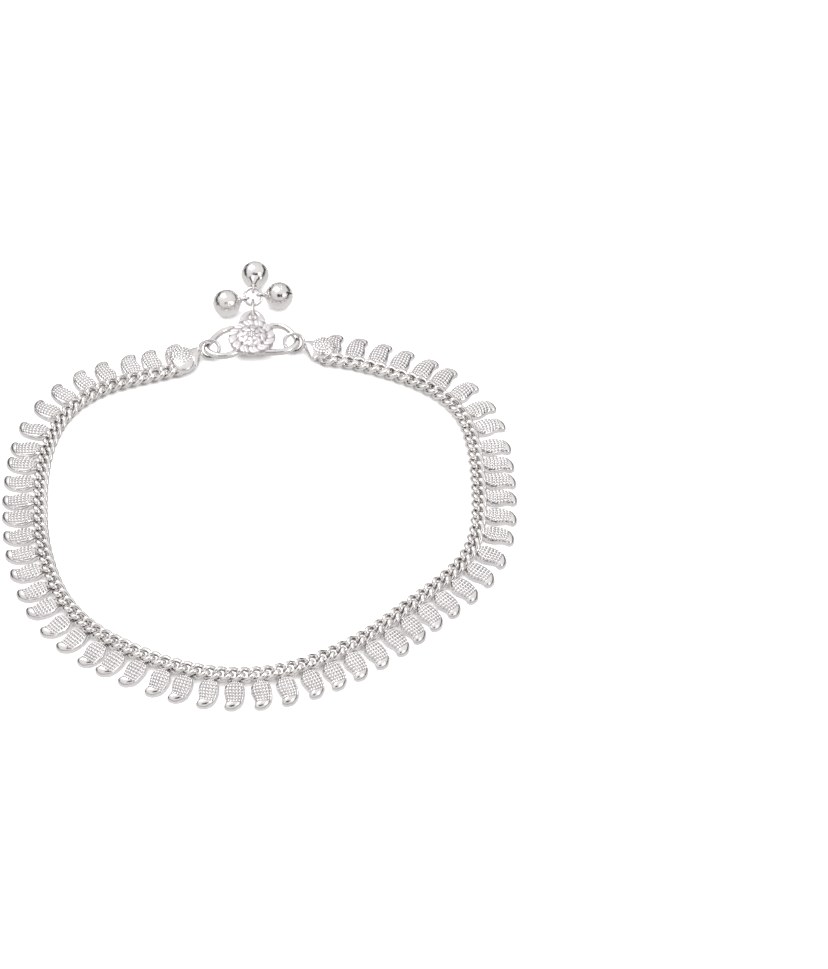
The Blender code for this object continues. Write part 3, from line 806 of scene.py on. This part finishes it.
# Cast and tumbled silver: the petals' tops shine, and the ground between them is a soft grey of painted
# shade.
cast_silver = silver(
    "cast_silver_rosette", bright="#EFECED", shaded="#E4E0E1", recess="#BDB6B8",
    polish=0.35, polish_spread=0.07, mark_size=0.5 * MM, relief=0.010 * MM,
)
hook_wire = bent_wire(smooth_curve(hook_ends, HOOK_STEPS), HOOK_WIRE, RING_SIDES, closed=False)
hook_wire = shaded_below(hook_wire, HOOK_WIRE, RING_SIDES)
embossing = struck_disc(rosette_edge, rosette_relief, ROSETTE_SEAT, ROSETTE_RINGS, ROSETTE_SPOKES)
rosette_place = Matrix.Translation(rosette)
piece("hook_wire", [placed(hook_wire, rosette_place)], underside_shaded_silver, "clasp_hook")
piece("rosette_and_tab", [
    placed(embossing, rosette_place),
    placed(pierced_tab(tab_hole_offset), rosette_place),
], cast_silver, "clasp_hook")

# Jump rings. An oval ring of wire stands on edge in the tab's hole, and a round one through it carries
# the three bells. Both are cut from drawn wire and pinched shut.
TAB_RING_LENGTH = 5.4 * MM
TAB_RING_WIDTH = 3.6 * MM
TAB_RING_WIRE = 0.6 * MM
TAB_RING_SLOPE = math.radians(8)
BELL_RING_DIAMETER = 3.9 * MM
BELL_RING_WIRE = 0.6 * MM
BELL_RING_TILT = math.radians(35)


def middle_of(node):
    """The middle of a node's box."""
    low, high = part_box(node)
    return (Vector(low) + Vector(high)) / 2


slope = Vector((0, math.cos(TAB_RING_SLOPE), -math.sin(TAB_RING_SLOPE)))
sideways = Vector((1, 0, 0))
tab_ring_place = axes(middle_of("tab_ring"), slope, sideways.cross(slope), sideways)
tab_ring = oval_ring(TAB_RING_LENGTH, TAB_RING_WIDTH, TAB_RING_WIRE, tab_ring_place)
piece("tab_jump_ring", [tab_ring], underside_shaded_silver, "tab_ring")
bell_ring_middle = middle_of("bell_ring")
bell_ring_place = Matrix.Translation(bell_ring_middle) @ Matrix.Rotation(BELL_RING_TILT, 4, "X")
bell_ring = oval_ring(BELL_RING_DIAMETER, BELL_RING_DIAMETER, BELL_RING_WIRE, bell_ring_place)
piece("bell_jump_ring", [bell_ring], underside_shaded_silver, "bell_ring")

# Bells. Hollow balls pressed from thin sheet in two cups, joined by a seam round the middle, slit across
# the bottom and drawn up to a neck with a wire eye that hangs on the round jump ring.
BELL_DIAMETER = 5.3 * MM
BELL_WALL = 0.4 * MM
BELL_SLIT = 0.36 * MM
BELL_SLIT_TOP = -0.8 * MM
BELL_EYE_WIRE = 0.44 * MM
BELL_NECK_FOOT = 2.4 * MM
BELL_NECK_TOP = 1.2 * MM
BELL_SEAM = 0.05 * MM
BELL_SEAM_WIDTH = 0.14 * MM
BELL_RINGS = 61
BELL_SPOKES = 96
NECK_RINGS = 9
NECK_SPOKES = 48
BellPlace = namedtuple("BellPlace", "name heading neck slit_roll")
BELL_PLACES = (
    BellPlace("bell_left", math.radians(193), 0.2 * MM, math.radians(-70)),
    BellPlace("bell_back", math.radians(88), 2.0 * MM, 0),
    BellPlace("bell_right", math.radians(9), 0.2 * MM, math.radians(4)),
)

# Pressed sheet silver buffed to a mirror, so each ball reflects the whole room in small, with the dents
# of handling, a millimetre across. The inside, seen through the slit, is painted near black as shade.
pressed_silver = silver(
    "pressed_mirror_silver", bright="#F6F4F3", shaded="#ECEAE9", recess="#2E2B2A",
    polish=0.17, polish_spread=0.05, mark_size=1.0 * MM, relief=0.110 * MM,
)


def turned(profile, steps):
    """A closed shape turned about Z, from a profile of radius and height that starts and ends on it."""
    angle = np.linspace(0, 2 * np.pi, steps, endpoint=False)
    points = np.array([
        [(radius * math.cos(a), radius * math.sin(a), height) for a in angle] for radius, height in profile
    ])
    quads = lattice(len(profile), steps, round_rows=False, round_columns=True)
    points = points.reshape(-1, 3)
    return Shape(points, quads, np.zeros(len(points)))


def slit_cutter(place):
    """A thin box across the bottom of a bell."""
    bpy.ops.mesh.primitive_cube_add(size=1)
    cutter = bpy.context.object
    size = Matrix.Diagonal((2 * BELL_DIAMETER, BELL_SLIT, BELL_DIAMETER, 1))
    low = Matrix.Translation((0, 0, BELL_SLIT_TOP - BELL_DIAMETER / 2))
    cutter.data.transform(place @ low @ size)
    return cutter


def bell(bell_place):
    """One bell on the round jump ring, lying on the surface, slit and all."""
    name, bearing, neck, slit_roll = bell_place
    level_way = heading_vector(bearing)
    ring_radius = (BELL_RING_DIAMETER - BELL_RING_WIRE) / 2
    uphill = Vector((0, math.cos(BELL_RING_TILT), math.sin(BELL_RING_TILT)))
    turn = math.atan2(level_way.y / math.cos(BELL_RING_TILT), level_way.x)
    eye_middle = bell_ring_middle + (sideways * math.cos(turn) + uphill * math.sin(turn)) * ring_radius
    tangent = uphill * math.cos(turn) - sideways * math.sin(turn)
    radius = BELL_DIAMETER / 2
    eye_out = radius + neck + BELL_RING_WIRE / 2 + JOIN_GAP
    drop_to = eye_middle.z - radius
    centre = eye_middle + level_way * math.sqrt(eye_out ** 2 - drop_to ** 2) - UP * drop_to
    axis = (eye_middle - centre).normalized()
    across = (tangent - axis * tangent.dot(axis)).normalized()
    place = axes(centre, across.cross(axis), across, axis)
    steps = np.linspace(-np.pi / 2, np.pi / 2, BELL_RINGS)
    skin = radius - BELL_SEAM * (1 - np.exp(-(steps * radius / BELL_SEAM_WIDTH) ** 2))
    outside = [(r * math.cos(a), r * math.sin(a)) for a, r in zip(steps, skin)]
    inner = radius - BELL_WALL
    inside = [(inner * math.cos(a), inner * math.sin(a)) for a in steps]
    foot = math.sqrt(radius ** 2 - (BELL_NECK_FOOT / 2) ** 2)
    sunk = foot - BELL_WALL / 2
    profile = [(0, sunk), (BELL_NECK_FOOT / 2, sunk)]
    for rise in np.linspace(0, 1, NECK_RINGS):
        waist = BELL_NECK_TOP + (BELL_NECK_FOOT - BELL_NECK_TOP) * (1 - rise) ** 2
        profile.append((waist / 2, foot + rise * (radius + neck - foot)))
    collar = turned(profile + [(0, radius + neck)], NECK_SPOKES)
    eye_size = BELL_RING_WIRE + 2 * JOIN_GAP + 2 * BELL_EYE_WIRE
    lean = place @ Matrix.Translation((0, 0, eye_out)) @ Matrix.Rotation(math.pi / 2, 4, "X")
    shell = [placed(turned(skin_profile, BELL_SPOKES), place) for skin_profile in (outside, inside)]
    ball = piece(name + "_ball", shell, pressed_silver, name)
    cutter = slit_cutter(place @ Matrix.Rotation(slit_roll, 4, "Z"))
    cut = ball.modifiers.new("slit", "BOOLEAN")
    cut.operation = "DIFFERENCE"
    cut.solver = "EXACT"
    cut.object = cutter
    bpy.context.view_layer.update()
    depsgraph = bpy.context.evaluated_depsgraph_get()
    cut_mesh = bpy.data.meshes.new_from_object(ball.evaluated_get(depsgraph))
    ball.modifiers.clear()
    ball.data = cut_mesh
    bpy.data.objects.remove(cutter)
    # Painted shade: the inside of the shell darkens to near black, seen through the slit.
    depths = [(radius - (vertex.co - centre).length) / BELL_WALL for vertex in cut_mesh.vertices]
    painted_inside_shade = cut_mesh.attributes.get("recess") or cut_mesh.attributes.new("recess", "FLOAT", "POINT")
    painted_inside_shade.data.foreach_set("value", np.clip(depths, 0, 1))
    piece(name + "_eye", [
        placed(collar, place), oval_ring(eye_size, eye_size, BELL_EYE_WIRE, lean),
    ], pressed_silver, name)


for bell_place in BELL_PLACES:
    bell(bell_place)

# Photographer's table. White paper in a pale room with a darker horizon, lit by a wide lamp overhead and
# by two smaller ones that the silver reflects as white. Matt black card at both sides and round the
# camera, seen only in reflections, gives the silver its near black lines and spots.
TABLE_SIZE = 3.0
PAPER_GRAIN = 0.4 * MM
CAMERA_DISTANCE = 0.934
CAMERA_ELEVATION = math.radians(48)
CAMERA_TARGET = ROUTE_ORIGIN + Vector((0.028118, 0.009150, 0))
PHOTO_HEIGHT = 969
FOCAL_PIXELS = 5100
SENSOR = 36.0
CAMERA_NEAR = 0.01
CAMERA_FAR = 20
MATT = 0.9

# Uncoated white paper: matt, with fibres a shade off white in patches of the grain's size.
paper = bpy.data.materials.new("white_table_paper")
paper.use_nodes = True
paper_tree = paper.node_tree
paper_place = add_node(paper_tree, "ShaderNodeTexCoord", {}, {}).outputs["Object"]
fibres = add_node(
    paper_tree, "ShaderNodeTexNoise", {"Scale": 1 / PAPER_GRAIN, "Detail": 2.0}, {"Vector": paper_place},
)
paper_tones = add_node(
    paper_tree, "ShaderNodeValToRGB", {"stops": [(0.3, "#FAFAFA"), (0.7, "#FDFDFD")]},
    {"Fac": fibres.outputs["Fac"]},
)
paper_shader = paper_tree.nodes["Principled BSDF"]
paper_shader.inputs["Roughness"].default_value = MATT
paper_shader.inputs["Specular IOR Level"].default_value = 0.1
paper_tree.links.new(paper_tones.outputs["Color"], paper_shader.inputs["Base Color"])
bpy.ops.mesh.primitive_plane_add(size=TABLE_SIZE)
table = bpy.context.object
table.name = "paper_table"
table.data.materials.append(paper)
table.visible_glossy = False

world = bpy.data.worlds.new("grey_room")
bpy.context.scene.world = world
world.use_nodes = True
room = world.node_tree
way_seen = add_node(room, "ShaderNodeTexCoord", {}, {}).outputs["Generated"]
seen_height = add_node(room, "ShaderNodeSeparateXYZ", {}, {"Vector": way_seen}).outputs["Z"]
height_share = add_node(
    room, "ShaderNodeMapRange", {"From Min": -1.0, "From Max": 1.0}, {"Value": seen_height},
)
room_tones = add_node(
    room, "ShaderNodeValToRGB",
    {"stops": [
        (0.0, "#E2E0DF"), (0.45, "#DAD8D7"), (0.485, "#7C7978"),
        (0.53, "#827F7E"), (0.60, "#DEDCDC"), (0.97, "#F0EEEE"),
    ]},
    {"Fac": height_share.outputs["Result"]},
)
room.links.new(room_tones.outputs["Color"], room.nodes["Background"].inputs["Color"])
room.nodes["Background"].inputs["Strength"].default_value = 1.0


def lamp(name, place, size, glow, reflected):
    """A soft square lamp aimed at the anklet, as bright as its glow times white paper."""
    light = bpy.data.lights.new(name, "AREA")
    light.size = size
    light.energy = glow * math.pi * size ** 2
    item = bpy.data.objects.new(name, light)
    item.location = place
    item.rotation_euler = Vector(place).to_track_quat("Z", "Y").to_euler()
    item.visible_glossy = reflected
    bpy.context.scene.collection.objects.link(item)


lamp("lamp_behind_left", place=(-0.40, 0.40, 0.85), size=0.60, glow=2.4, reflected=True)
lamp("lamp_front_right", place=(0.65, -0.45, 0.60), size=0.30, glow=2.5, reflected=True)
lamp("lamp_on_the_table", place=(0, 0, 1.6), size=3.0, glow=3.0, reflected=False)

# Black matt card, dyed through and uncoated: it has no shine, so the silver shows it as an even near black.


def dark_card(name, place, width, height, colour):
    """A dark card facing the anklet, seen only in reflections."""
    card_paper = bpy.data.materials.new("matt_black_" + name)
    card_paper.use_nodes = True
    card_shader = card_paper.node_tree.nodes["Principled BSDF"]
    card_shader.inputs["Base Color"].default_value = linear(colour)
    card_shader.inputs["Roughness"].default_value = MATT
    bpy.ops.mesh.primitive_plane_add(size=1)
    card = bpy.context.object
    card.name = name
    card.scale = (width, height, 1)
    card.location = place
    card.rotation_euler = Vector(place).to_track_quat("Z", "Y").to_euler()
    card.data.materials.append(card_paper)
    card.visible_camera = False
    card.visible_shadow = False
    card.visible_diffuse = False


camera_way = Vector((0, -math.cos(CAMERA_ELEVATION), math.sin(CAMERA_ELEVATION)))
dark_card("card_round_lens", place=camera_way * 0.8, width=0.50, height=0.34, colour="#080808")
dark_card("card_left", place=(-0.80, 0.35, 0.13), width=1.5, height=0.30, colour="#161515")
dark_card("card_right", place=(0.80, 0.35, 0.13), width=1.5, height=0.30, colour="#161515")

camera_data = bpy.data.cameras.new("photo_camera")
camera_data.sensor_width = SENSOR
camera_data.lens = FOCAL_PIXELS / PHOTO_HEIGHT * SENSOR
camera_data.clip_start = CAMERA_NEAR
camera_data.clip_end = CAMERA_FAR
camera = bpy.data.objects.new("photo_camera", camera_data)
camera.location = CAMERA_TARGET + camera_way * CAMERA_DISTANCE
camera.rotation_euler = (-camera_way).to_track_quat("-Z", "Y").to_euler()
bpy.context.scene.collection.objects.link(camera)
bpy.context.scene.camera = camera
bpy.context.scene.view_settings.view_transform = "Standard"
